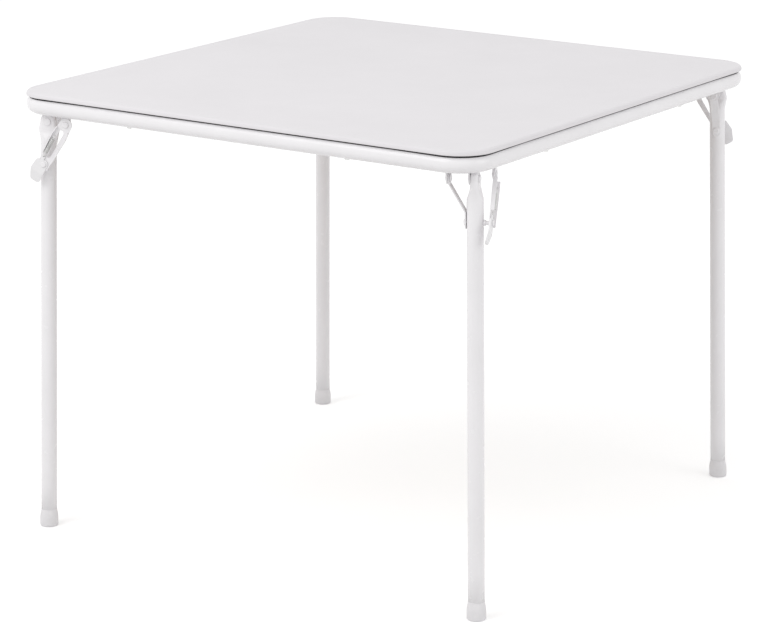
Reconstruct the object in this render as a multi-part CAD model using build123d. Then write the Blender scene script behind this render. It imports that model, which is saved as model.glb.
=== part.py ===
from build123d import *
import math
import os

# A square card table: padded top on a bent tube rail, with four legs that fold one after
# the other round the square. Lengths are in millimetres and angles in degrees. The origin
# is on the floor under the middle of the top, +Z is up.

# Covered top
table_width = 864.0
table_height = 721.0
corner_radius = 56.5
cover_thickness = 0.8
padding_thickness = 2.6
board_thickness = 4.0
cover_roll = 4.6
cover_under_roll = 2.2
cover_lip = 24.0

# Rail
rail_diameter = 28.0
rail_wall = 1.2

# Screws that hold the board to the rail
screw_diameter = 4.2
screw_head_diameter = 8.0
screw_head_height = 1.8
screw_bite = 3.0
screw_clearance = 0.1
screw_place = 205.0

# Leg
leg_diameter = 25.4
leg_wall = 1.2
leg_inset = 27.4
leg_setback = 52.1
fold_turn = 20.0
splay_out = 0.838
splay_back = 1.505
leg_flat_thickness = 12.0
leg_flat_width = 32.0
leg_flat_shift = 0.5
leg_flat_length = 12.0
leg_taper_length = 32.0
leg_eye_radius = 13.6

# Foot cap
cap_diameter = 29.6
cap_neck_diameter = 27.6
cap_height = 18.0
cap_collar_height = 10.0
cap_lip = 0.4
cap_lip_height = 2.0
cap_base = 4.0
cap_rounding = 2.2
cap_clearance = 0.03

# Hinge of the leg
hinge_drop = 26.4
hinge_pin_diameter = 7.0
rivet_head_diameter = 12.0
rivet_head_height = 1.5
head_rim_share = 0.6
running_clearance = 0.05
side_gap = 0.3
cut_overrun = 5.0

# Corner bracket
bracket_thickness = 2.5
bracket_ear_radius = 9.5
bracket_depth = 42.0
bracket_plate_level = 4.0
bracket_rounding = 6.0

# Side brace of the leg
strap_thickness = 2.0
strap_width = 13.0
strap_reach = 38.0
strap_bend_radius = 5.0
strap_tab_tail = 10.0
strap_low_bend = 23.0
strap_high_bend = 12.0
cross_rivet_place = 65.0
cross_rivet_diameter = 6.0
cross_rivet_gap = 0.4
cross_collar_diameter = 9.0
cross_collar_height = 3.0
cross_head_diameter = 11.0
cross_head_height = 2.2

# Lock strut
strut_pivot_reach = 36.3
strut_pivot_drop = 0.5
strut_leg_gap = 9.3
strut_web = 1.6
strut_flange_height = 5.0
strut_low_width = 20.0
strut_high_width = 25.0
strut_eye_radius = 10.5
strut_shoulder = 22.0
strut_flange_start = 8.0
strut_tail = 9.0
strut_lip_stop = 17.0
strut_lip_tail = 4.0
slot_width = 8.0
slot_start = 11.0
slot_stop = 13.5
strut_pin_diameter = 6.0
strut_pin_head_diameter = 10.0
strut_pin_head_height = 1.5
lug_thickness = 2.5
lug_radius = 8.0

# Release lever
lever_thickness = 1.8
lever_hub_radius = 7.4
lever_length = 33.0
lever_top = 5.0
lever_waist = 14.0
lever_top_reach = 14.0
lever_waist_reach = 16.0
lever_foot_reach = 9.0
lever_right_reach = 7.0
lever_corner = 5.0
lever_bend_start = 16.0
lever_bend_in = 5.5
lever_bend_radius = 6.0
lever_arm_length = 12.0
lever_arm_radius = 2.6
lever_pin_diameter = 5.0
lever_pin_head_diameter = 9.6
lever_pin_head_height = 1.8

# Lock spring
spring_wire = 1.3
spring_diameter = 5.6
spring_turns = 9
spring_wire_sides = 4
spring_offset = 5.6
spring_hook_place = 24.0
spring_hook_hole = 0.8
spring_leg = 4.0
spring_tab_width = 4.0
spring_tab_height = 5.2
spring_gap = 0.2

# Shares that hold at any size
round_share = 0.0004
half_step = 0.5

# Worked out from the sizes above
half_width = table_width / 2
top_thickness = 2 * cover_thickness + board_thickness + padding_thickness
top_underside = table_height - top_thickness
board_underside = top_underside + cover_thickness
board_top = board_underside + board_thickness
rail_radius = rail_diameter / 2
leg_radius = leg_diameter / 2
cap_radius = cap_diameter / 2
rail_line = half_width - rail_radius
rail_bend = corner_radius - rail_radius
rail_level = top_underside - rail_radius
hinge_x = half_width - leg_inset
hinge_y = leg_setback - half_width
hinge_level = rail_level - hinge_drop
lean = math.cos(math.radians(splay_out)) * math.cos(math.radians(splay_back))
leg_length = hinge_level / lean
cap_trim = cap_radius * math.tan(math.acos(lean))
flat_face = leg_flat_shift + leg_flat_thickness / 2
flat_back = leg_flat_shift - leg_flat_thickness / 2
ear_face = flat_back - side_gap
brace_ear_face = -strap_reach - strap_thickness / 2 - side_gap
strut_back = leg_radius + strut_leg_gap
strut_face = strut_back + strut_web
lug_face = strut_back - side_gap
lug_back = lug_face - lug_thickness
pin_seat = strut_face + side_gap
stud_y = -cross_rivet_place * math.sin(math.radians(splay_back))
stud_z = -cross_rivet_place * math.cos(math.radians(splay_back))
strut_rise = -strut_pivot_drop - stud_z
strut_span = math.hypot(strut_pivot_reach - stud_y, strut_rise)
strut_angle = math.degrees(math.atan2(strut_pivot_reach - stud_y, strut_rise))
lever_back = pin_seat
lever_face = lever_back + lever_thickness
spring_radius = (spring_diameter - spring_wire) / 2
spring_level = strut_face + spring_gap + spring_diameter / 2
corners = {"front": 0, "right": 90, "back": 180, "left": 270}


def place(shape):
    """Moves a piece from the frame of its hinge to the front corner of the table."""
    turned = Pos(hinge_x, hinge_y, hinge_level) * Rot(0, 0, fold_turn)
    return turned * Rot(0, -splay_out, 0) * shape


def along_leg(shape):
    """Turns a piece drawn along a plumb leg to the backward splay of the leg."""
    return Rot(-splay_back, 0, 0) * shape


def along_strut(shape):
    """Turns a piece drawn down from the strut's pivot to the slope of the strut."""
    return Location((0, strut_pivot_reach, -strut_pivot_drop), (-strut_angle, 0, 0)) * shape


def side_plate(sketch, low, high):
    """Makes a plate across the hinge axis from a sketch whose X is fold and Y is up."""
    return extrude(Plane((low, 0, 0), x_dir=(0, 1, 0), z_dir=(1, 0, 0)) * sketch, high - low)


def side_pin(radius, low, high, across=0, up=0):
    """Makes a round pin or hole along the hinge axis."""
    return side_plate(Pos(across, up) * Circle(radius), low, high)


def rivet_head(radius, height, seat, outward, across=0, up=0):
    """Makes a rivet head with a bevelled rim on the plane X = seat."""
    far = seat + outward * height
    head = side_pin(radius, min(seat, far), max(seat, far), across, up)
    rim = head.faces().sort_by(Axis.X)[-1 if outward > 0 else 0].edges()
    return chamfer(rim, height * head_rim_share)


def rail_sweep(radius):
    """Makes a solid round bar along the centre line of the rail."""
    path = Pos(0, 0, rail_level) * RectangleRounded(2 * rail_line, 2 * rail_line, rail_bend).wire()
    return sweep((path ^ 0) * Circle(radius), path=path)


def top_block(inset, low, high, roll, under_roll):
    """Makes the rounded square block of the top, set in from its outline."""
    side = table_width - 2 * inset
    outline = RectangleRounded(side, side, corner_radius - inset)
    block = extrude(Pos(0, 0, low) * outline, high - low)
    block = fillet(block.faces().sort_by(Axis.Z)[-1].edges(), roll)
    return fillet(block.faces().sort_by(Axis.Z)[0].edges(), under_roll)


def square_slab(side, low, high):
    """Makes a plain square slab between two levels."""
    return extrude(Pos(0, 0, low) * Rectangle(side, side), high - low)


def screw_spots():
    """Gives the places of the screws, two on each side of the rail."""
    spots = []
    for turn in corners.values():
        for along in (-screw_place, screw_place):
            spots.append(Rot(0, 0, turn) * Pos(rail_line, along, 0))
    return spots


def screw_holes(radius, low, high):
    """Makes the holes for all the screws between two levels."""
    return [spot * Pos(0, 0, low) * extrude(Circle(radius), high - low) for spot in screw_spots()]


def make_top():
    """Makes the cover, its padding and the board, with the screws and their holes."""
    hole = screw_diameter / 2 + screw_clearance
    low = rail_level - rail_diameter
    tip = board_underside + screw_bite
    cavity_roll = cover_roll - cover_thickness
    cavity_under = cover_under_roll - cover_thickness
    block = top_block(0, top_underside, table_height, cover_roll, cover_under_roll)
    high = table_height - cover_thickness
    cavity = top_block(cover_thickness, board_underside, high, cavity_roll, cavity_under)
    mouth = square_slab(table_width - 2 * cover_lip, top_underside - cut_overrun, board_underside)
    holes = screw_holes(hole, low, tip + screw_clearance)
    cover = block - cavity - mouth - holes
    board = cavity & square_slab(table_width, board_underside, board_top)
    padding = cavity & square_slab(table_width, board_top, table_height)
    return {"top_cover": cover, "top_board": board - holes, "top_padding": padding}


def make_rail():
    """Makes the bent tube of the rail with the holes for the screws."""
    bore = screw_holes(screw_diameter / 2 + screw_clearance, rail_level - rail_diameter, table_height)
    return rail_sweep(rail_radius) - rail_sweep(rail_radius - rail_wall) - bore


def make_screws():
    """Makes the screws, whose heads are hollowed to sit on the round rail."""
    bottom = rail_level - rail_radius
    seat = rail_level - math.sqrt(rail_radius**2 - (screw_head_diameter / 2) ** 2)
    tip = board_underside + screw_bite
    head = extrude(Circle(screw_head_diameter / 2), seat - bottom + screw_head_height)
    head = chamfer(head.faces().sort_by(Axis.Z)[0].edges(), screw_head_height / 2)
    shank = extrude(Circle(screw_diameter / 2), tip - bottom + screw_head_height)
    core = Pos(0, 0, rail_level) * Rot(90, 0, 0) * Cylinder(rail_radius, rail_diameter)
    start = Pos(0, 0, bottom - screw_head_height)
    screw = (start * head - core) + start * shank
    return Compound(children=[spot * screw for spot in screw_spots()])


def leg_form(inset):
    """Makes the solid form of the leg, or with an inset the hollow in it."""
    radius = leg_radius - inset
    taper_end = leg_flat_length + leg_taper_length
    end = leg_length - cap_base
    tube = extrude(Pos(0, 0, -end) * Circle(radius), end - taper_end)
    flat_end = Pos(leg_flat_shift, 0, -leg_flat_length) * Rot(0, 0, 90)
    narrow = flat_end * SlotOverall(leg_flat_width - 2 * inset, leg_flat_thickness - 2 * inset)
    near_round = 2 * radius * (1 + round_share)
    wide = Pos(0, 0, -taper_end) * Rot(0, 0, 90) * SlotOverall(near_round, 2 * radius)
    return tube + loft([wide, narrow]) + extrude(narrow, leg_flat_length + leg_eye_radius)


def make_leg():
    """Makes the leg tube, whose top is pressed to a wide oval round the hinge."""
    half_flat = leg_flat_width / 2
    shoulder = Polyline(
        (-leg_eye_radius, 0),
        (-half_flat, -leg_flat_length),
        (-half_flat, -leg_length),
        (half_flat, -leg_length),
        (half_flat, -leg_flat_length),
        (leg_eye_radius, 0),
        close=True,
    )
    reach = leg_diameter + cut_overrun
    outline = side_plate(make_face(shoulder) + Circle(leg_eye_radius), -reach, reach)
    tube = (leg_form(0) - leg_form(leg_wall)) & outline
    hinge_hole = side_pin(hinge_pin_diameter / 2 + running_clearance, -reach, reach)
    rivet_bore = cross_rivet_diameter / 2 + running_clearance
    rivet_hole = side_pin(rivet_bore, -reach, reach, 0, -cross_rivet_place)
    return tube - hinge_hole - rivet_hole


def make_cap():
    """Makes the foot cap, a sleeve that widens to its foot and is cut level later."""
    bottom = -leg_length - cap_trim
    bore = leg_radius + cap_clearance
    shoulder = -leg_length + cap_height
    collar = shoulder + cap_collar_height
    neck = cap_neck_diameter / 2
    profile = Polyline(
        (0, bottom),
        (cap_radius, bottom),
        (neck, shoulder - cap_lip_height),
        (neck + cap_lip, shoulder - cap_lip_height / 2),
        (neck, shoulder),
        (bore + cap_lip, collar),
        (bore, collar),
        (bore, cap_base - leg_length),
        (0, cap_base - leg_length),
        close=True,
    )
    cap = revolve(Plane.XZ * make_face(profile), Axis.Z)
    rim = cap.faces().sort_by(Axis.Z)[0].edges()
    return fillet(rim, cap_rounding)


def trim_to_floor(shape):
    """Cuts away what lies below the floor."""
    below = Pos(0, 0, -table_height) * extrude(Rectangle(2 * table_width, 2 * table_width), table_height)
    return shape - below


def make_strap():
    """Makes the side brace, a strap from the middle of the hinge to the leg."""
    at_leg = -leg_radius - strap_thickness / 2
    low = -cross_rivet_place - strap_tab_tail
    route = [
        (at_leg, low),
        (at_leg, strap_low_bend - cross_rivet_place),
        (-strap_reach, -strap_high_bend),
        (-strap_reach, strap_width / 2),
    ]
    bent = trace(FilletPolyline(*route, radius=strap_bend_radius), line_width=strap_thickness)
    strip = extrude(Rot(90, 0, 0) * bent, strap_width / 2, both=True)
    length = strap_width / 2 - low
    middle = (strap_width / 2 + low) / 2
    outline = Pos(0, middle) * Rot(0, 0, 90) * SlotOverall(length, strap_width)
    reach = strap_reach + cut_overrun
    hinge_hole = side_pin(hinge_pin_diameter / 2 + running_clearance, -reach, 0)
    rivet_bore = cross_rivet_diameter / 2 + running_clearance
    rivet_hole = side_pin(rivet_bore, -reach, 0, 0, -cross_rivet_place)
    return (strip & side_plate(outline, -reach, 0)) - hinge_hole - rivet_hole


def make_cross_rivet():
    """Makes the rivet that holds the side brace to the leg and ends behind the strut."""
    seat = -leg_radius - strap_thickness
    end = strut_back - cross_rivet_gap
    pin = side_pin(cross_rivet_diameter / 2, seat, end, 0, -cross_rivet_place)
    step = leg_radius + cross_collar_height
    collar = side_pin(cross_collar_diameter / 2, leg_radius, step, 0, -cross_rivet_place)
    head = rivet_head(cross_head_diameter / 2, cross_head_height, seat, -1, 0, -cross_rivet_place)
    return pin + collar + head


def make_bracket(rail):
    """Makes the corner bracket, a welded plate with an ear for each hinge rivet."""
    plate_low = rail_level - bracket_plate_level
    turn = math.radians(fold_turn)
    inner = brace_ear_face - bracket_thickness
    near = hinge_x + inner * math.cos(turn) - bracket_ear_radius * math.sin(turn)
    side = rail_line - near
    front = Pos((near + rail_line) / 2, hinge_y - bracket_rounding, plate_low)
    depth = 2 * (hinge_y + rail_line - bracket_rounding)
    plate = front * extrude(Rectangle(side, depth), bracket_thickness)
    bend = Pos(0, 0, plate_low) * RectangleRounded(2 * rail_line, 2 * rail_line, rail_bend)
    plate = plate & extrude(bend, bracket_thickness)
    rise = plate_low + bracket_thickness - hinge_level
    outline = Pos(0, rise / 2) * Rectangle(2 * bracket_ear_radius, rise) + Circle(bracket_ear_radius)
    leg_ear = side_plate(outline, ear_face - bracket_thickness, ear_face)
    strap_ear = side_plate(outline, brace_ear_face - bracket_thickness, brace_ear_face)
    above = Pos(0, 0, plate_low + bracket_thickness) * extrude(Rectangle(table_width, table_width), rise)
    reach = strap_reach + bracket_depth
    hole = side_pin(hinge_pin_diameter / 2 + running_clearance, -reach, reach)
    ears = place(leg_ear + strap_ear) - above
    return plate + ears - place(hole) - rail


def make_hinge_rivets():
    """Makes the two rivets that the leg and its side brace turn on."""
    pieces = []
    strap_face = -strap_reach + strap_thickness / 2
    for back, face in ((ear_face, flat_face), (brace_ear_face, strap_face)):
        seat = back - bracket_thickness
        front = face + side_gap
        pin = side_pin(hinge_pin_diameter / 2, seat, front)
        outer = rivet_head(rivet_head_diameter / 2, rivet_head_height, front, 1)
        inner = rivet_head(rivet_head_diameter / 2, rivet_head_height, seat, -1)
        pieces.append(place(pin + outer + inner))
    return Compound(children=pieces)


def make_lug(rail):
    """Makes the lug under the rail that carries the strut."""
    rise = rail_level - hinge_level
    outline = Pos(0, rise / 2) * Rectangle(2 * lug_radius, rise) + Circle(lug_radius)
    lug = side_plate(Pos(strut_pivot_reach, -strut_pivot_drop) * outline, lug_back, lug_face)
    bore = strut_pin_diameter / 2 + running_clearance
    hole = side_pin(bore, lug_back, lug_face, strut_pivot_reach, -strut_pivot_drop)
    return place(lug - hole) - rail


def make_strut_pin():
    """Makes the pin of the strut, with a head behind the lug and one before the web."""
    pin = side_pin(strut_pin_diameter / 2, lug_back, pin_seat)
    head_radius = strut_pin_head_diameter / 2
    inner = rivet_head(head_radius, strut_pin_head_height, lug_back, -1)
    outer = rivet_head(head_radius, strut_pin_head_height, pin_seat, 1)
    return Pos(0, strut_pivot_reach, -strut_pivot_drop) * (pin + inner + outer)


def make_strut():
    """Makes the lock strut, a slotted channel that hangs from the lug."""
    low = -strut_span - strut_tail
    half_low = strut_low_width / 2
    half_high = strut_high_width / 2
    outline = Polyline(
        (-half_low, low),
        (half_low, low),
        (half_high, -strut_shoulder),
        (strut_eye_radius, 0),
        (-strut_eye_radius, 0),
        (-half_high, -strut_shoulder),
        close=True,
    )
    face = make_face(outline) + Circle(strut_eye_radius)
    face = fillet(face.vertices().group_by(Axis.Y)[0], strut_tail / 2)
    inner = offset(face, amount=-strut_web)
    tray = side_plate(face, strut_back, strut_face + strut_flange_height)
    tray = tray - side_plate(inner, strut_face, strut_face + strut_flange_height)
    cut_rise = strut_flange_start + strut_eye_radius + cut_overrun
    top_cut = Pos(0, cut_rise / 2 - strut_flange_start) * Rectangle(2 * strut_high_width, cut_rise)
    lip_low = -strut_span - strut_lip_tail
    end_cut = Pos(0, lip_low - strut_span) * Rectangle(2 * strut_high_width, 2 * strut_span)
    back_low = strut_lip_stop - strut_span
    back_cut = Pos(-half_high, back_low - strut_span) * Rectangle(strut_high_width, 2 * strut_span)
    cut = top_cut + end_cut + back_cut
    tray = tray - side_plate(cut, strut_face, strut_face + strut_flange_height)
    slot_low = slot_stop - strut_span
    slot_length = strut_span - slot_stop - slot_start
    slot = Pos(0, slot_low + slot_length / 2) * Rot(0, 0, 90) * SlotOverall(slot_length, slot_width)
    holes = side_plate(slot, strut_back, strut_face)
    holes = holes + side_pin(strut_pin_diameter / 2 + running_clearance, strut_back, strut_face)
    lever_hole = lever_pin_diameter / 2 + running_clearance
    holes = holes + side_pin(lever_hole, strut_back, strut_face, 0, -strut_span)
    tab = make_hook_tab()
    return tray - holes + tab


def make_hook_tab():
    """Makes the small upright tab that the upper end of the spring hooks on."""
    top = -spring_hook_place
    across = -spring_offset
    block = Pos(across, top - strut_web / 2) * Rectangle(spring_tab_width, strut_web)
    tab = side_plate(block, strut_back, strut_face + spring_tab_height)
    notch = Pos(spring_level, across, top) * Cylinder(spring_hook_hole, spring_leg)
    base = Pos(across - spring_tab_width / 2, top - strut_web / 2) * Rectangle(spring_tab_width, strut_web)
    return tab + side_plate(base, strut_back, strut_face) - notch


def lever_outline():
    """Draws the lever: hub, a broad thumb plate to its left and a spring arm above."""
    foot = -lever_length
    edge = Polyline(
        (-lever_top_reach, lever_top),
        (-lever_waist_reach, -lever_waist),
        (-lever_foot_reach, foot),
        (lever_right_reach, foot),
        (lever_hub_radius, 0),
        (0, lever_top),
        close=True,
    )
    blade = make_face(edge)
    far = blade.vertices().sort_by(Axis.Y)[:3] + blade.vertices().sort_by(Axis.X)[1:2]
    blade = fillet(far, lever_corner)
    arm = Pos(-spring_offset, lever_arm_length / 2) * Rectangle(2 * lever_arm_radius, lever_arm_length)
    tip = Pos(-spring_offset, lever_arm_length) * Circle(lever_arm_radius)
    return Circle(lever_hub_radius) + blade + arm + tip


def make_lever():
    """Makes the release lever, whose thumb plate is bent in towards the leg."""
    middle = lever_back + lever_thickness / 2
    top = lever_arm_length + 2 * lever_arm_radius
    route = [
        (middle, top),
        (middle, -lever_bend_start),
        (middle - lever_bend_in, -lever_length - lever_arm_radius),
    ]
    bent = trace(FilletPolyline(*route, radius=lever_bend_radius), line_width=lever_thickness)
    strip = extrude(Rot(90, 0, 0) * bent, lever_length, both=True)
    reach = lever_face + cut_overrun
    plate = strip & side_plate(lever_outline(), 0, reach)
    hole = side_pin(lever_pin_diameter / 2 + running_clearance, 0, reach)
    eye = side_pin(spring_wire, 0, reach, -spring_offset, lever_arm_length)
    return Pos(0, 0, -strut_span) * (plate - hole - eye)


def make_lever_pin():
    """Makes the pin of the lever, flush behind the strut's web."""
    front = lever_face + side_gap
    pin = side_pin(lever_pin_diameter / 2, strut_back, front)
    head = rivet_head(lever_pin_head_diameter / 2, lever_pin_head_height, front, 1)
    return Pos(0, 0, -strut_span) * (pin + head)


def spring_point(turn, low, pitch):
    """Gives a point of the coil, with turn counted from its lower end."""
    angle = 2 * math.pi * turn
    x = spring_level - spring_radius * math.cos(angle)
    y = -spring_offset + spring_radius * math.sin(angle)
    return Vector(x, y, low + pitch * turn)


def make_spring():
    """Makes the tension spring as one wire, with a straight leg at each end."""
    foot = lever_arm_length + lever_arm_radius + spring_gap - strut_span
    head = -spring_hook_place - strut_web - spring_gap
    low = foot + spring_leg
    high = head - spring_leg
    pitch = (high - low) / spring_turns
    quarters = 4 * spring_turns
    edges = []
    for step in range(quarters):
        start = spring_point(step / 4, low, pitch)
        middle = spring_point((step + half_step) / 4, low, pitch)
        end = spring_point((step + 1) / 4, low, pitch)
        edges.append(ThreePointArc(start, middle, end))
    coil = Wire(edges)
    section = RegularPolygon(spring_wire / 2, spring_wire_sides)
    leg = extrude(Pos(spring_level - spring_radius, -spring_offset) * section, spring_leg)
    return sweep((coil ^ 0) * section, path=coil) + Pos(0, 0, foot) * leg + Pos(0, 0, high) * leg


os.makedirs("parts", exist_ok=True)
rail_bar = rail_sweep(rail_radius)
nodes = dict(make_top())
nodes["frame_rail"] = make_rail()
nodes["top_screws"] = make_screws()
corner = {
    "leg": place(along_leg(make_leg())),
    "foot_cap": trim_to_floor(place(along_leg(make_cap()))),
    "side_brace": place(along_leg(make_strap())),
    "cross_rivet": place(along_leg(make_cross_rivet())),
    "corner_bracket": make_bracket(rail_bar),
    "hinge_rivets": make_hinge_rivets(),
    "strut_lug": make_lug(rail_bar),
    "strut_pin": place(make_strut_pin()),
    "lock_strut": place(along_strut(make_strut())),
    "release_lever": place(along_strut(make_lever())),
    "lever_pin": place(along_strut(make_lever_pin())),
    "lock_spring": place(along_strut(make_spring())),
}
for corner_name, turn in corners.items():
    for piece_name, piece in corner.items():
        nodes[piece_name + "_" + corner_name] = Rot(0, 0, turn) * piece
for node_name, node in nodes.items():
    export_step(node, "parts/" + node_name + ".step")
print("hinge", hinge_x, hinge_y, hinge_level, "leg", leg_length)
print("strut span and angle", strut_span, strut_angle, "stud", stud_y, stud_z)
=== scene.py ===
import math

import bmesh
import bpy
from mathutils import Matrix, Vector, noise


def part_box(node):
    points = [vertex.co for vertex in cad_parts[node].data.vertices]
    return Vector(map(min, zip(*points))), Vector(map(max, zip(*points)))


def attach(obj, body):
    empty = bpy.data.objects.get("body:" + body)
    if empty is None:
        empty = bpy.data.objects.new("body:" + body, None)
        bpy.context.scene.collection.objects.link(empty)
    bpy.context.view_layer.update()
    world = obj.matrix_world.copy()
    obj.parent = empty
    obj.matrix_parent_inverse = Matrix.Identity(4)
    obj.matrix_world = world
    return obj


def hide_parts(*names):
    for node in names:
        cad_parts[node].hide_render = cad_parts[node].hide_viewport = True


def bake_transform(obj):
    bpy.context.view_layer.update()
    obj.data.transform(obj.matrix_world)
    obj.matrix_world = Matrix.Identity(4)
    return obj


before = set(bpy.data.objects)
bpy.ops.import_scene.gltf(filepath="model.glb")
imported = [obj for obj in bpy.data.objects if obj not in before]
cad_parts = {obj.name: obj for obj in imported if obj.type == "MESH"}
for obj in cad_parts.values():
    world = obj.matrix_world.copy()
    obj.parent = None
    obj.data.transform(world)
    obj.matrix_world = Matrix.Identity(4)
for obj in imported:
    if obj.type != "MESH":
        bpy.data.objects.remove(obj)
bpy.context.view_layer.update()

# A white folding card table. Lengths are in metres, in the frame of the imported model:
# the origin is on the floor under the middle of the top, and +Z is up. Lengths inside a
# function that draws a small piece are in millimetres, and angles are in degrees.

MM = 0.001
QUARTER = math.pi / 2
CORNERS = {"front": 0, "right": 1, "back": 2, "left": 3}

# The front leg's hinge in the table, and the lock strut's pivot in the frame of that hinge
HINGE_PLACE = (0.4046, -0.3799, 0.6724)
PIVOT_PLACE = (0, 0.0363, -0.0005)
FOLD_TURN = 20.0
SPLAY_OUT = 0.838
SPLAY_BACK = 1.505
STRUT_ANGLE = 30.518

# Levels between which the painted shade line on the rail, under the cover's edge, starts
SHADE_LINE_LOW = 0.7096
SHADE_LINE_HIGH = 0.7101
SHADE_LINE_COLOUR = (0.06, 0.058, 0.06, 1)

# The painted shade line is wider at the corners: X and Y added up tell how near a corner is
CORNER_START = 0.72
CORNER_FULL = 0.80
CORNER_SHADE_LIFT = 0.0005

# Places on a colour ramp where its darker and its full colour stand
RAMP_DARK = 0.3
RAMP_FULL = 0.7

# Light: the world lights less than it shows, and the floor glows a little to look white
WORLD_LIGHT = 0.80
WHITE = (1, 1, 1, 1)
FLOOR_REACH = 14.0
FLOOR_COLOUR = (0.9, 0.9, 0.9, 1)
FLOOR_GLOW = 0.31
FLOOR_BOUNCE = 0.75
LAMP_AIM = (0, 0, 0.5)
KEY_PLACE, KEY_SIZE, KEY_POWER = (-1.2, -3.4, 3.6), 3.2, 57
FILL_PLACE, FILL_SIZE, FILL_POWER = (4.2, 0.6, 1.9), 3.0, 22

# The camera of the photograph. Its roll is in radians
SENSOR_WIDTH = 36.0
PHOTO_WIDTH = 768
FOCAL_PIXELS = 3046.0
FARTHEST = 60.0
CAMERA_PLACE = (2.722, -4.019, 1.639)
CAMERA_PITCH = 15.29
CAMERA_YAW = 34.25
CAMERA_ROLL = -0.00217


def mesh_piece(name, verts, faces, material, smooth=True):
    """Makes a mesh object at the origin from corner points and faces."""
    mesh = bpy.data.meshes.new(name)
    mesh.from_pydata([tuple(v) for v in verts], [], faces)
    work = bmesh.new()
    work.from_mesh(mesh)
    bmesh.ops.remove_doubles(work, verts=work.verts, dist=0.001 * MM)
    bmesh.ops.recalc_face_normals(work, faces=work.faces)
    work.to_mesh(mesh)
    work.free()
    piece = bpy.data.objects.new(name, mesh)
    bpy.context.scene.collection.objects.link(piece)
    for face in mesh.polygons:
        face.use_smooth = smooth
    mesh.materials.append(material)
    return piece


def skin_faces(rings, count):
    """Joins rings of equally many points with four-sided faces and closes both ends."""
    faces = []
    for low in range(0, (rings - 1) * count, count):
        for k in range(count):
            after = (k + 1) % count
            faces.append((low + k, low + after, low + count + after, low + count + k))
    faces.append(tuple(range(count)))
    faces.append(tuple(range((rings - 1) * count, rings * count)))
    return faces


def eased(share):
    """Gives a share that starts and ends slowly."""
    return share * share * (3 - 2 * share)


def heading(path, k):
    """Gives the direction of a row of points at one of them."""
    return (path[min(k + 1, len(path) - 1)] - path[max(k - 1, 0)]).normalized()


# Materials

def new_material(name, colour, roughness, metallic=0.0):
    """Starts a material and gives it with its nodes, links and shader."""
    material = bpy.data.materials.new(name)
    material.use_nodes = True
    nodes, links = material.node_tree.nodes, material.node_tree.links
    shader = nodes["Principled BSDF"]
    shader.inputs["Base Color"].default_value = (*colour, 1)
    shader.inputs["Roughness"].default_value = roughness
    shader.inputs["Metallic"].default_value = metallic
    return material, nodes, links, shader


def noise_value(nodes, links, scale, detail, stretch=(1, 1, 1)):
    """Gives noise in object space, so it keeps its real scale."""
    place = nodes.new("ShaderNodeTexCoord")
    turn = nodes.new("ShaderNodeMapping")
    turn.inputs["Scale"].default_value = stretch
    texture = nodes.new("ShaderNodeTexNoise")
    texture.inputs["Scale"].default_value = scale
    texture.inputs["Detail"].default_value = detail
    links.new(place.outputs["Object"], turn.inputs["Vector"])
    links.new(turn.outputs["Vector"], texture.inputs["Vector"])
    return texture.outputs["Fac"]


def math_value(nodes, links, operation, *values):
    """Gives the outcome of an operation on one or two values."""
    node = nodes.new("ShaderNodeMath")
    node.operation = operation
    for slot, value in enumerate(values):
        links.new(value, node.inputs[slot])
    return node.outputs["Value"]


def mottle(nodes, links, shader, factor, colour, darkest):
    """Lets the colour wander between itself and a darker share of it."""
    ramp = nodes.new("ShaderNodeValToRGB")
    dark, full = ramp.color_ramp.elements
    dark.position = RAMP_DARK
    full.position = RAMP_FULL
    dark.color = (*(c * darkest for c in colour), 1)
    full.color = (*colour, 1)
    links.new(factor, ramp.inputs["Fac"])
    links.new(ramp.outputs["Color"], shader.inputs["Base Color"])


def rough_between(nodes, links, shader, factor, low, high):
    """Lets the roughness wander between two values."""
    span = nodes.new("ShaderNodeMapRange")
    span.inputs["To Min"].default_value = low
    span.inputs["To Max"].default_value = high
    links.new(factor, span.inputs["Value"])
    links.new(span.outputs["Result"], shader.inputs["Roughness"])


def bump(nodes, links, shader, heights):
    """Chains bumps, each from a height output with its strength and its depth."""
    last = None
    for height, strength, depth in heights:
        node = nodes.new("ShaderNodeBump")
        node.inputs["Strength"].default_value = strength
        node.inputs["Distance"].default_value = depth
        links.new(height, node.inputs["Height"])
        if last:
            links.new(last, node.inputs["Normal"])
        last = node.outputs["Normal"]
    links.new(last, shader.inputs["Normal"])


def powder_coat(name, colour, roughness):
    """White powder coat: fine orange peel, with a little cloudiness in colour and gloss."""
    material, nodes, links, shader = new_material(name, colour, roughness)
    cloud = noise_value(nodes, links, scale=14.0, detail=3.0)
    mottle(nodes, links, shader, cloud, colour, darkest=0.965)
    wander = noise_value(nodes, links, scale=90.0, detail=3.0)
    rough_between(nodes, links, shader, wander, low=roughness - 0.06, high=roughness + 0.08)
    peel = noise_value(nodes, links, scale=750.0, detail=1.5)
    fine = noise_value(nodes, links, scale=2600.0, detail=1.0)
    bump(nodes, links, shader, [(peel, 0.35, 0.12 * MM), (fine, 0.25, 0.03 * MM)])
    return material


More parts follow.
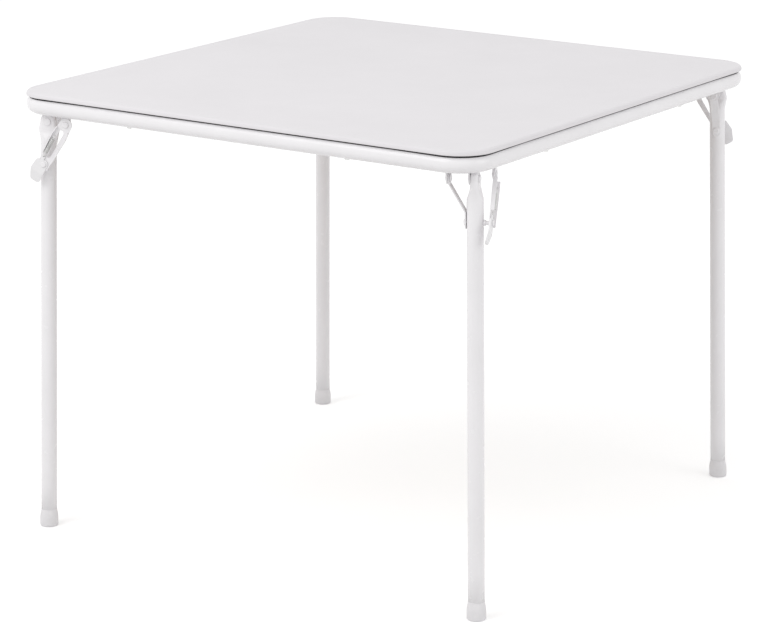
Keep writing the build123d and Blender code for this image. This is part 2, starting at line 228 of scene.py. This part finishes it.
def rail_coat_with_painted_shade(name, colour, roughness):
    """The powder coat of the rail, with a painted shade line right under the cover, where the
    cover's edge shades the rail.
    """
    material = powder_coat(name, colour, roughness)
    nodes, links = material.node_tree.nodes, material.node_tree.links
    shader = nodes["Principled BSDF"]
    place = nodes.new("ShaderNodeTexCoord")
    parts = nodes.new("ShaderNodeSeparateXYZ")
    links.new(place.outputs["Object"], parts.inputs["Vector"])
    across, along = (math_value(nodes, links, "ABSOLUTE", parts.outputs[axis]) for axis in "XY")
    widening = nodes.new("ShaderNodeMapRange")
    widening.inputs["From Min"].default_value = CORNER_START
    widening.inputs["From Max"].default_value = CORNER_FULL
    widening.inputs["To Max"].default_value = CORNER_SHADE_LIFT
    links.new(math_value(nodes, links, "ADD", across, along), widening.inputs["Value"])
    lifted = math_value(nodes, links, "ADD", parts.outputs["Z"], widening.outputs["Result"])
    # Painted shade: the rail's colour turns dark in a thin band just under the cover's edge, a
    # little wider near the corners
    level = nodes.new("ShaderNodeMapRange")
    level.interpolation_type = "SMOOTHSTEP"
    level.inputs["From Min"].default_value = SHADE_LINE_LOW
    level.inputs["From Max"].default_value = SHADE_LINE_HIGH
    links.new(lifted, level.inputs["Value"])
    mixer = nodes.new("ShaderNodeMix")
    mixer.data_type = "RGBA"
    factor, plain, shade_input = mixer.inputs["Factor"], mixer.inputs[6], mixer.inputs[7]
    links.new(level.outputs["Result"], factor)
    links.new(shader.inputs["Base Color"].links[0].from_socket, plain)
    shade_input.default_value = SHADE_LINE_COLOUR
    links.new(mixer.outputs[2], shader.inputs["Base Color"])
    return material


def vinyl(name, colour):
    """Smooth white vinyl: a faint pebble grain over very slight waves."""
    material, nodes, links, shader = new_material(name, colour, 0.46)
    cloud = noise_value(nodes, links, scale=5.0, detail=4.0)
    mottle(nodes, links, shader, cloud, colour, darkest=0.972)
    wander = noise_value(nodes, links, scale=30.0, detail=4.0)
    rough_between(nodes, links, shader, wander, low=0.40, high=0.54)
    place = nodes.new("ShaderNodeTexCoord")
    pebble = nodes.new("ShaderNodeTexVoronoi")
    pebble.inputs["Scale"].default_value = 620.0
    links.new(place.outputs["Object"], pebble.inputs["Vector"])
    wave = noise_value(nodes, links, scale=26.0, detail=2.0)
    bump(nodes, links, shader, [(wave, 0.2, 0.6 * MM), (pebble.outputs["Distance"], 0.3, 0.1 * MM)])
    return material


def moulded(name, colour):
    """Moulded plastic of the foot caps: a soft sheen with fine scuffs."""
    material, nodes, links, shader = new_material(name, colour, 0.5)
    cloud = noise_value(nodes, links, scale=60.0, detail=4.0)
    mottle(nodes, links, shader, cloud, colour, darkest=0.93)
    rough_between(nodes, links, shader, cloud, low=0.42, high=0.6)
    fine = noise_value(nodes, links, scale=1800.0, detail=2.0)
    scuff = noise_value(nodes, links, scale=400.0, detail=3.0, stretch=(1, 1, 0.15))
    bump(nodes, links, shader, [(fine, 0.3, 0.05 * MM), (scuff, 0.15, 0.08 * MM)])
    return material


def plated(name, colour):
    """Bright zinc plate: a patchy metal with fine drawing marks."""
    material, nodes, links, shader = new_material(name, colour, 0.34, metallic=1.0)
    cloud = noise_value(nodes, links, scale=220.0, detail=4.0)
    mottle(nodes, links, shader, cloud, colour, darkest=0.86)
    rough_between(nodes, links, shader, cloud, low=0.26, high=0.44)
    marks = noise_value(nodes, links, scale=900.0, detail=2.0, stretch=(1, 1, 8))
    bump(nodes, links, shader, [(marks, 0.2, 0.04 * MM)])
    return material


def hardboard(name, colour):
    """Pressed board: brown, flecked with fibres in both directions."""
    material, nodes, links, shader = new_material(name, colour, 0.75)
    fleck = noise_value(nodes, links, scale=420.0, detail=6.0, stretch=(1, 2.4, 1))
    cross = noise_value(nodes, links, scale=380.0, detail=6.0, stretch=(2.6, 1, 1))
    both = math_value(nodes, links, "MULTIPLY", fleck, cross)
    mottle(nodes, links, shader, both, colour, darkest=0.62)
    bump(nodes, links, shader, [(both, 0.5, 0.2 * MM)])
    return material


def foam(name, colour):
    """Open foam: small pores."""
    material, nodes, links, shader = new_material(name, colour, 0.9)
    pores = noise_value(nodes, links, scale=1500.0, detail=3.0)
    mottle(nodes, links, shader, pores, colour, darkest=0.8)
    bump(nodes, links, shader, [(pores, 0.6, 0.3 * MM)])
    return material


# The rail's coat carries a painted shade line under the cover
rail_paint_and_shade_line = rail_coat_with_painted_shade("rail_powder_coat_and_painted_shade", (0.90, 0.885, 0.90), 0.22)
paint = powder_coat("white_powder_coat", (0.90, 0.885, 0.90), 0.24)
lever_paint = powder_coat("lever_powder_coat", (0.88, 0.87, 0.88), 0.36)
skin = vinyl("white_vinyl", (0.785, 0.765, 0.785))
cap_plastic = moulded("cap_plastic", (0.825, 0.81, 0.825))
zinc = plated("zinc_plate", (0.74, 0.74, 0.73))
board_brown = hardboard("hardboard", (0.42, 0.28, 0.17))
foam_cream = foam("foam", (0.80, 0.76, 0.62))

# The material of each node, less its corner. The others are zinc
BY_KIND = {
    "frame_rail": rail_paint_and_shade_line,
    "corner_bracket": paint,
    "strut_lug": paint,
    "leg": paint,
    "side_brace": paint,
    "lock_strut": paint,
    "release_lever": lever_paint,
    "hinge_rivets": paint,
    "strut_pin": paint,
    "cross_rivet": paint,
    "lever_pin": paint,
    "foot_cap": cap_plastic,
    "top_cover": skin,
    "top_padding": foam_cream,
    "top_board": board_brown,
}


def dress_nodes():
    """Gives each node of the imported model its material."""
    for name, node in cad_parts.items():
        kind = name
        for corner in CORNERS:
            kind = kind.removesuffix("_" + corner)
        node.data.materials.clear()
        node.data.materials.append(BY_KIND.get(kind, zinc))


# The covered top

def rounded_square(half, radius, per_corner, per_side):
    """Gives the points of a rounded square, anticlockwise from the +X -Y corner."""
    points = []
    middle = Vector((half - radius, radius - half))
    run = 2 * (half - radius)
    for quarter in range(4):
        turn = Matrix.Rotation(quarter * QUARTER, 2)
        for k in range(per_corner + 1):
            angle = -QUARTER + k / per_corner * QUARTER
            points.append(turn @ (middle + radius * Vector((math.cos(angle), math.sin(angle)))))
        for k in range(1, per_side):
            share = 0.5 - 0.5 * math.cos(math.pi * k / per_side)
            points.append(turn @ Vector((half, radius - half + share * run)))
    return points


def top_profile(half, bottom, top):
    """Gives the section of the covered top from the board round its edge to the middle.

    Each point is a distance in from the edge and a level. The skin starts on the board,
    goes round its rim, and is turned in under it as a lip.
    """
    board_low, board_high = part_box("top_board")
    board_edge = half - board_high[0]
    lip, on_board = 24 * MM, 30 * MM
    crown, roll, under = 0.405 * MM, 5.2 * MM, 0.9 * MM
    crown_start, crown_run = 5, 40
    steps = 8
    edge = top - crown
    profile = [(board_edge + on_board, board_high[2]), (board_edge, board_high[2])]
    profile += [(board_edge, board_low[2]), (lip, board_low[2]), (lip, bottom), (lip / 2, bottom)]
    for k in range(steps + 1):
        angle = k / steps * QUARTER
        profile.append((under * (1 - math.sin(angle)), bottom + under * (1 - math.cos(angle))))
    for k in range(1, steps + 1):
        angle = k / steps * QUARTER
        rise = (edge - bottom - under) * math.sin(angle)
        profile.append((roll * (1 - math.cos(angle)), bottom + under + rise))
    for inset in (7, 10, 14, 20, 28, 40, 56, 80, 110, 150, 200, 255, 310, 360, 400, 420):
        share = min(1.0, (inset - crown_start) / crown_run)
        profile.append((inset * MM, edge + crown * math.sin(share * QUARTER)))
    return profile


def soft_top():
    """Makes the vinyl skin over its padding, with a rolled edge and very slight waves."""
    low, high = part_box("top_cover")
    half, bottom, top = high[0], low[2], high[2]
    corner, least_corner = 56.5 * MM, 12 * MM
    flat_edge, wave, wave_scale, wave_slice = 6 * MM, 0.12 * MM, 9, 0.3
    profile = top_profile(half, bottom, top)
    verts = []
    for inset, level in profile:
        size = half - inset
        radius = max(corner - inset, min(least_corner, size / 2))
        for x, y in rounded_square(size, radius, per_corner=14, per_side=30):
            swell = 0.0
            if inset > flat_edge:
                swell = noise.noise(Vector((x * wave_scale, y * wave_scale, wave_slice))) * wave
            verts.append(Vector((x, y, min(level + swell, top))))
    faces = skin_faces(len(profile), len(verts) // len(profile))
    piece = mesh_piece("padded_vinyl_top", verts, faces, skin)
    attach(piece, "root")
    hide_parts("top_cover", "top_padding")


# Legs, side straps, foot caps and springs

def hinge_frame(corner):
    """Gives the matrix from a leg's hinge to the table: X is the hinge's axis and Y the fold."""
    matrix = Matrix.Rotation(CORNERS[corner] * QUARTER, 4, "Z")
    matrix = matrix @ Matrix.Translation(Vector(HINGE_PLACE))
    matrix = matrix @ Matrix.Rotation(math.radians(FOLD_TURN), 4, "Z")
    return matrix @ Matrix.Rotation(math.radians(-SPLAY_OUT), 4, "Y")


def leg_frame(corner):
    """Gives the matrix from a leg, drawn down from its hinge, to the table."""
    return hinge_frame(corner) @ Matrix.Rotation(math.radians(-SPLAY_BACK), 4, "X")


def strut_frame(corner):
    """Gives the matrix from a lock strut, drawn down from its pivot, to the table."""
    matrix = hinge_frame(corner) @ Matrix.Translation(Vector(PIVOT_PLACE))
    return matrix @ Matrix.Rotation(math.radians(-STRUT_ANGLE), 4, "X")


def leg_section(level, half_width, half_depth, shift):
    """Gives one ring of the leg: two half rounds with straight runs between them."""
    ring = []
    run = half_width - half_depth
    arc_steps = 10
    for side in (1, -1):
        for k in range(arc_steps + 1):
            angle = math.pi * k / arc_steps - QUARTER
            across = side * (run + half_depth * math.cos(angle))
            ring.append(Vector((shift + side * half_depth * math.sin(angle), across, level)) * MM)
        for share in (0.5, 0, -0.5):
            ring.append(Vector((shift + side * half_depth, side * run * share, level)) * MM)
    return ring


def pressed_leg(corner):
    """Draws the leg tube, pressed flat round its hinge and closed over the top."""
    radius, flat_half, flat_depth, shift = 12.7, 16.0, 6.0, 0.5
    eye, flat_end, taper_end = 13.6, 10.5, 33.0
    smallest, fullness = 1.0, 0.4
    eye_steps, flat_steps, taper_steps = 9, 4, 12
    rings = [(eye, smallest, smallest, shift)]
    for k in range(1, eye_steps):
        turn = QUARTER * (1 - k / eye_steps)
        half = eye * math.cos(turn)
        depth = min(flat_depth * math.cos(turn) ** fullness, half)
        rings.append((eye * math.sin(turn), half, depth, shift))
    for k in range(flat_steps):
        share = k / flat_steps
        rings.append((-flat_end * share, eye + (flat_half - eye) * share, flat_depth, shift))
    for k in range(taper_steps + 1):
        share = k / taper_steps
        level = -flat_end - (taper_end - flat_end) * share
        half = flat_half + (radius - flat_half) * eased(share)
        depth = flat_depth + (radius - flat_depth) * eased(share)
        rings.append((level, half, depth, shift * (1 - eased(share))))
    rings += [(-down, radius, radius, 0) for down in (80, 160, 320, 480, 600, 665)]
    verts = []
    for ring in rings:
        verts += leg_section(*ring)
    faces = skin_faces(len(rings), len(verts) // len(rings))
    matrix = leg_frame(corner)
    piece = mesh_piece("pressed_leg_" + corner, [matrix @ v for v in verts], faces, paint)
    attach(piece, "leg_" + corner)
    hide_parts("leg_" + corner)


def bend(before, at, after, radius, steps=6):
    """Gives the points of a rounded bend of a strip between two straight runs."""
    reach = radius * math.tan((at - before).angle(after - at) / 2)
    start = at + reach * (before - at).normalized()
    end = at + reach * (after - at).normalized()
    shares = [k / steps for k in range(steps + 1)]
    return [start * (1 - t) ** 2 + at * 2 * t * (1 - t) + end * t * t for t in shares]


def side_strap(corner):
    """Bends the side brace: flat on the leg, then slanting to its own ear of the hinge."""
    half, thick, edge, bend_radius, end_steps = 6.5, 2.0, 0.3, 5.0, 6
    on_leg, at_ear = -13.7, -38.0
    low, low_bend = Vector((on_leg, -75.0)), Vector((on_leg, -50.0))
    high_bend, high = Vector((at_ear, -8.5)), Vector((at_ear, 6.5))
    ends = [half * (1 - math.cos(QUARTER * k / end_steps)) for k in range(end_steps + 1)]
    path = [Vector((low.x, low.y + d)) for d in ends]
    path += bend(low, low_bend, high_bend, bend_radius)
    path += bend(low_bend, high_bend, high, bend_radius)
    path += [Vector((high.x, high.y - d)) for d in reversed(ends)]
    matrix = leg_frame(corner)
    verts = []
    for k, point in enumerate(path):
        ahead = heading(path, k)
        inward = min(point.y - low.y, high.y - point.y, half)
        wide = max(math.sqrt(half * half - (half - inward) ** 2), 2 * edge)
        flat, full = thick / 2 - edge, thick / 2
        ring = [(full, wide - edge), (flat, wide), (-flat, wide), (-full, wide - edge)]
        ring += [(-depth, -across) for depth, across in ring]
        for depth, across in ring:
            place = Vector((point.x + depth * ahead.y, across, point.y - depth * ahead.x))
            verts.append(matrix @ (place * MM))
    faces = skin_faces(len(path), len(verts) // len(path))
    piece = mesh_piece("side_strap_" + corner, verts, faces, paint, smooth=False)
    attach(piece, "leg_" + corner)
    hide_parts("side_brace_" + corner)


def flared_cap(corner):
    """Moulds the foot cap, which flares from the leg to its full width and stands flat."""
    wide, narrow, inner, height, waist, rounding = 14.8, 12.8, 12.2, 28.5, 17.0, 2.2
    groove, groove_depth = 0.3, 0.25
    round_steps, flare_steps, sides = 6, 12, 48
    profile = []
    for k in range(round_steps + 1):
        angle = QUARTER * k / round_steps
        profile.append((rounding * (1 - math.cos(angle)), wide - rounding * (1 - math.sin(angle))))
    flare_low, flare_wide = waist + groove, wide - groove_depth
    profile += [(waist - 0.2, wide), (waist, wide - 0.05), (flare_low, flare_wide)]
    for k in range(1, flare_steps + 1):
        share = k / flare_steps
        radius = flare_wide + (narrow - flare_wide) * eased(share)
        profile.append((flare_low + (height - flare_low) * share, radius))
    profile.append((height, inner))
    matrix = leg_frame(corner)
    hinge, down = matrix.translation, -matrix.col[2].to_3d()
    verts = []
    for level, radius in profile:
        middle = hinge + down * ((level * MM - hinge.z) / down.z)
        for k in range(sides):
            angle = 2 * math.pi * k / sides
            verts.append(middle + radius * MM * Vector((math.cos(angle), math.sin(angle), 0)))
    faces = skin_faces(len(profile), sides)
    piece = mesh_piece("flared_cap_" + corner, verts, faces, cap_plastic)
    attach(piece, "leg_" + corner)
    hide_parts("foot_cap_" + corner)


def tube_along(path, radius, sides, name, material):
    """Makes a round wire along a row of points, turned as little as possible on its way."""
    verts = []
    side = heading(path, 0).orthogonal()
    for k, point in enumerate(path):
        ahead = heading(path, k)
        side = (side - ahead * side.dot(ahead)).normalized()
        up = ahead.cross(side)
        for n in range(sides):
            angle = 2 * math.pi * n / sides
            verts.append(point + radius * (math.cos(angle) * side + math.sin(angle) * up))
    return mesh_piece(name, verts, skin_faces(len(path), sides), material)


def coil_spring(corner):
    """Winds the spring of one lock strut: a hook in the lever's arm, the coil, a hook on the tab."""
    level, across, low, high = 27.2, -5.6, -55.5, -29.8
    radius, turns, steps, wire, wire_sides = 2.9, 15, 14, 0.6, 8
    lead_far, lead_near, lead_side, arm_level = 1.4, 0.6, 1.2, -60.5
    lower_hook = [(24.0, -62.85), (25.2, -62.85), (26.2, -62.6), (26.7, -61.9), (26.8, -61.0)]
    lower_hook += [(26.7, -58.6), (level, low - lead_far)]
    upper_hook = [(level, high + lead_far), (level, -23.9), (level, -23.0), (27.9, -22.5)]
    upper_hook += [(28.7, -22.7), (29.4, -23.4), (29.6, -24.6)]
    path = [(out, across, up) for out, up in lower_hook]
    path.append((level, across - lead_side, low - lead_near))
    for k in range(turns * steps + 1):
        angle = 2 * math.pi * k / steps - QUARTER
        rise = low + (high - low) * k / (turns * steps)
        path.append((level - radius * math.cos(angle), across + radius * math.sin(angle), rise))
    path.append((level, across - lead_side, high + lead_near))
    path += [(out, across, up) for out, up in upper_hook]
    matrix = strut_frame(corner)
    points = [matrix @ (Vector(point) * MM) for point in path]
    piece = tube_along(points, wire * MM, wire_sides, "coil_spring_" + corner, zinc)
    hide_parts("lock_spring_" + corner)
    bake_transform(piece)


# Floor, light and camera

def mix_for_camera(nodes, links, seen, lighting):
    """Shows one shader to the camera, in gloss and through glass, and lights with the other."""
    path = nodes.new("ShaderNodeLightPath")
    direct = math_value(
        nodes, links, "MAXIMUM", path.outputs["Is Camera Ray"], path.outputs["Is Glossy Ray"]
    )
    shown = math_value(nodes, links, "MAXIMUM", direct, path.outputs["Is Transmission Ray"])
    mixer = nodes.new("ShaderNodeMixShader")
    links.new(shown, mixer.inputs["Fac"])
    links.new(lighting, mixer.inputs[1])
    links.new(seen, mixer.inputs[2])
    return mixer.outputs["Shader"]


def make_world():
    """Makes a surround that shows as white and lights a little less."""
    world = bpy.data.worlds.new("studio")
    bpy.context.scene.world = world
    world.use_nodes = True
    nodes, links = world.node_tree.nodes, world.node_tree.links
    nodes.clear()
    out = nodes.new("ShaderNodeOutputWorld")
    shades = []
    for strength in (1.0, WORLD_LIGHT):
        shade = nodes.new("ShaderNodeBackground")
        shade.inputs["Color"].default_value = WHITE
        shade.inputs["Strength"].default_value = strength
        shades.append(shade.outputs["Background"])
    links.new(mix_for_camera(nodes, links, *shades), out.inputs["Surface"])


def make_floor():
    """Makes a wide pale floor that looks white and keeps a soft shadow."""
    corners = ((-1, -1), (1, -1), (1, 1), (-1, 1))
    verts = [(x * FLOOR_REACH, y * FLOOR_REACH, 0) for x, y in corners]
    material = bpy.data.materials.new("pale_floor")
    material.use_nodes = True
    nodes, links = material.node_tree.nodes, material.node_tree.links
    nodes.clear()
    out = nodes.new("ShaderNodeOutputMaterial")
    diffuse = nodes.new("ShaderNodeBsdfDiffuse")
    diffuse.inputs["Color"].default_value = FLOOR_COLOUR
    glow = nodes.new("ShaderNodeEmission")
    glow.inputs["Color"].default_value = WHITE
    glow.inputs["Strength"].default_value = FLOOR_GLOW
    both = nodes.new("ShaderNodeAddShader")
    links.new(diffuse.outputs["BSDF"], both.inputs[0])
    links.new(glow.outputs["Emission"], both.inputs[1])
    bounce = nodes.new("ShaderNodeBsdfDiffuse")
    bounce.inputs["Color"].default_value = (FLOOR_BOUNCE, FLOOR_BOUNCE, FLOOR_BOUNCE, 1)
    shader = mix_for_camera(nodes, links, both.outputs["Shader"], bounce.outputs["BSDF"])
    links.new(shader, out.inputs["Surface"])
    piece = mesh_piece("floor", verts, [(0, 1, 2, 3)], material, smooth=False)


def area_light(name, place, size, power):
    """Adds a large soft lamp that looks at the table."""
    data = bpy.data.lights.new(name, "AREA")
    data.shape = "DISK"
    data.size = size
    data.energy = power
    lamp = bpy.data.objects.new(name, data)
    lamp.location = place
    towards = Vector(LAMP_AIM) - Vector(place)
    lamp.rotation_euler = towards.to_track_quat("-Z", "Y").to_euler()
    bpy.context.scene.collection.objects.link(lamp)


def make_camera():
    """Sets the camera at the photograph's viewpoint."""
    pitch, yaw, roll = math.radians(CAMERA_PITCH), math.radians(CAMERA_YAW), CAMERA_ROLL
    forward = Vector((-math.sin(yaw), math.cos(yaw), 0))
    ahead = forward * math.cos(pitch) - Vector((0, 0, math.sin(pitch)))
    level = Vector((math.cos(yaw), math.sin(yaw), 0))
    upward = level.cross(ahead)
    right = math.cos(roll) * level + math.sin(roll) * upward
    up = math.cos(roll) * upward - math.sin(roll) * level
    data = bpy.data.cameras.new("camera")
    data.sensor_fit = "HORIZONTAL"
    data.sensor_width = SENSOR_WIDTH
    data.lens = FOCAL_PIXELS / PHOTO_WIDTH * SENSOR_WIDTH
    data.clip_end = FARTHEST
    camera = bpy.data.objects.new("camera", data)
    place = Matrix((right, up, -ahead)).transposed().to_4x4()
    place.translation = Vector(CAMERA_PLACE)
    camera.matrix_world = place
    bpy.context.scene.collection.objects.link(camera)
    bpy.context.scene.camera = camera


dress_nodes()
soft_top()
for corner_name in CORNERS:
    pressed_leg(corner_name)
    side_strap(corner_name)
    flared_cap(corner_name)
    coil_spring(corner_name)
make_world()
make_floor()
area_light("key", KEY_PLACE, KEY_SIZE, KEY_POWER)
area_light("fill", FILL_PLACE, FILL_SIZE, FILL_POWER)
make_camera()

bpy.context.scene.view_settings.view_transform = "Standard"
